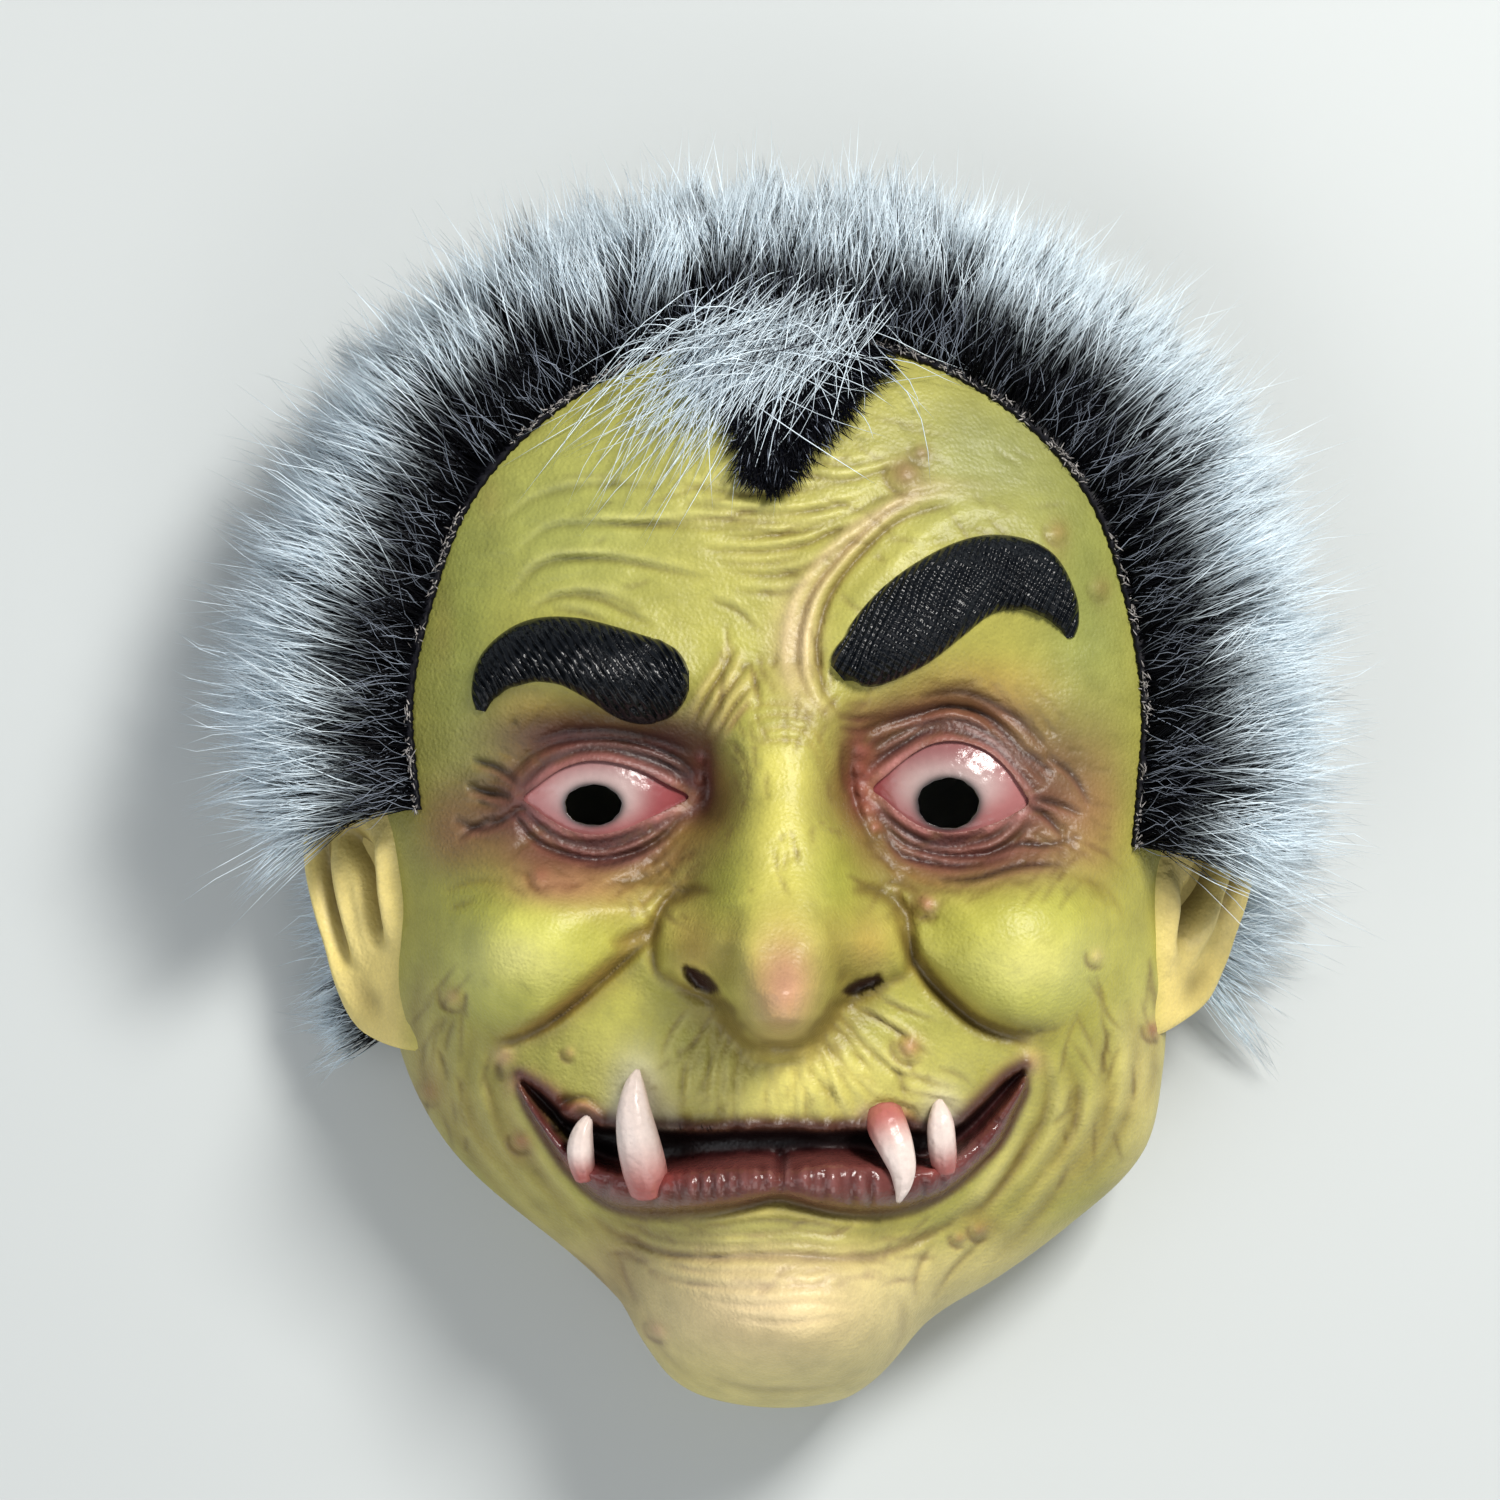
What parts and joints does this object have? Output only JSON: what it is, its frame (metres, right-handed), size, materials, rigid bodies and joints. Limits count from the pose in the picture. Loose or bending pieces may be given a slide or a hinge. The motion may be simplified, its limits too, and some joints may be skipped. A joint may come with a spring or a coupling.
{
  "type": "latex halloween mask",
  "caption": "Three-quarter latex monster mask with furry wig, brows, fangs and ears, open sight holes and an adjustable elastic head strap inside.",
  "frame": {"origin": "middle of the box the mask fills, on the plane of its cut rim", "axes": "the mask lies face up on its rim: +Z points out of the face, +Y to the crown, +X to the right as the face is looked at from above"},
  "size_m": [0.2368, 0.2728, 0.1134],
  "materials": {
    "latex": "satin, dark wash in the creases",
    "brow_paint": "gloss",
    "eye_paint": "gloss",
    "fang_paint": "satin",
    "fur": "long pile, black with white tips",
    "patch_cloth": "matt",
    "rivet_metal": "nickel plated",
    "elastic": "ribbed",
    "webbing": "woven",
    "ring_wire": "polished",
    "slider_plastic": "moulded"
  },
  "bodies": {
    "mask": {"latex_skin": "latex", "ear_left": "latex", "ear_right": "latex", "brow_left": "brow_paint", "brow_right": "brow_paint", "eye_left": "eye_paint", "eye_right": "eye_paint", "fang_left_outer": "fang_paint", "fang_left_inner": "fang_paint", "fang_right_inner": "fang_paint", "fang_right_outer": "fang_paint", "fur_peak": "fur", "fur_crown": "fur", "fur_side_left": "fur", "fur_side_right": "fur", "fur_nape_left": "fur", "fur_nape_right": "fur", "anchor_patch_left": "patch_cloth", "anchor_patch_right": "patch_cloth", "rivet_left": "rivet_metal", "rivet_right": "rivet_metal"},
    "strap": {"elastic_strap": "elastic", "ring_tab": "webbing", "strap_ring": "ring_wire"},
    "slider": {"strap_slider": "slider_plastic"}
  },
  "joints": [
    {"name": "strap_swing", "type": "hinge", "parent": "mask", "child": "strap", "pos_m": [0, 0.006, 0.012], "axis": [-1, 0, 0], "range_deg": [0, 95]},
    {"name": "slider_slide", "type": "slide", "parent": "strap", "child": "slider", "axis": [1, 0, 0], "range_m": [-0.018, 0.018]}
  ]
}
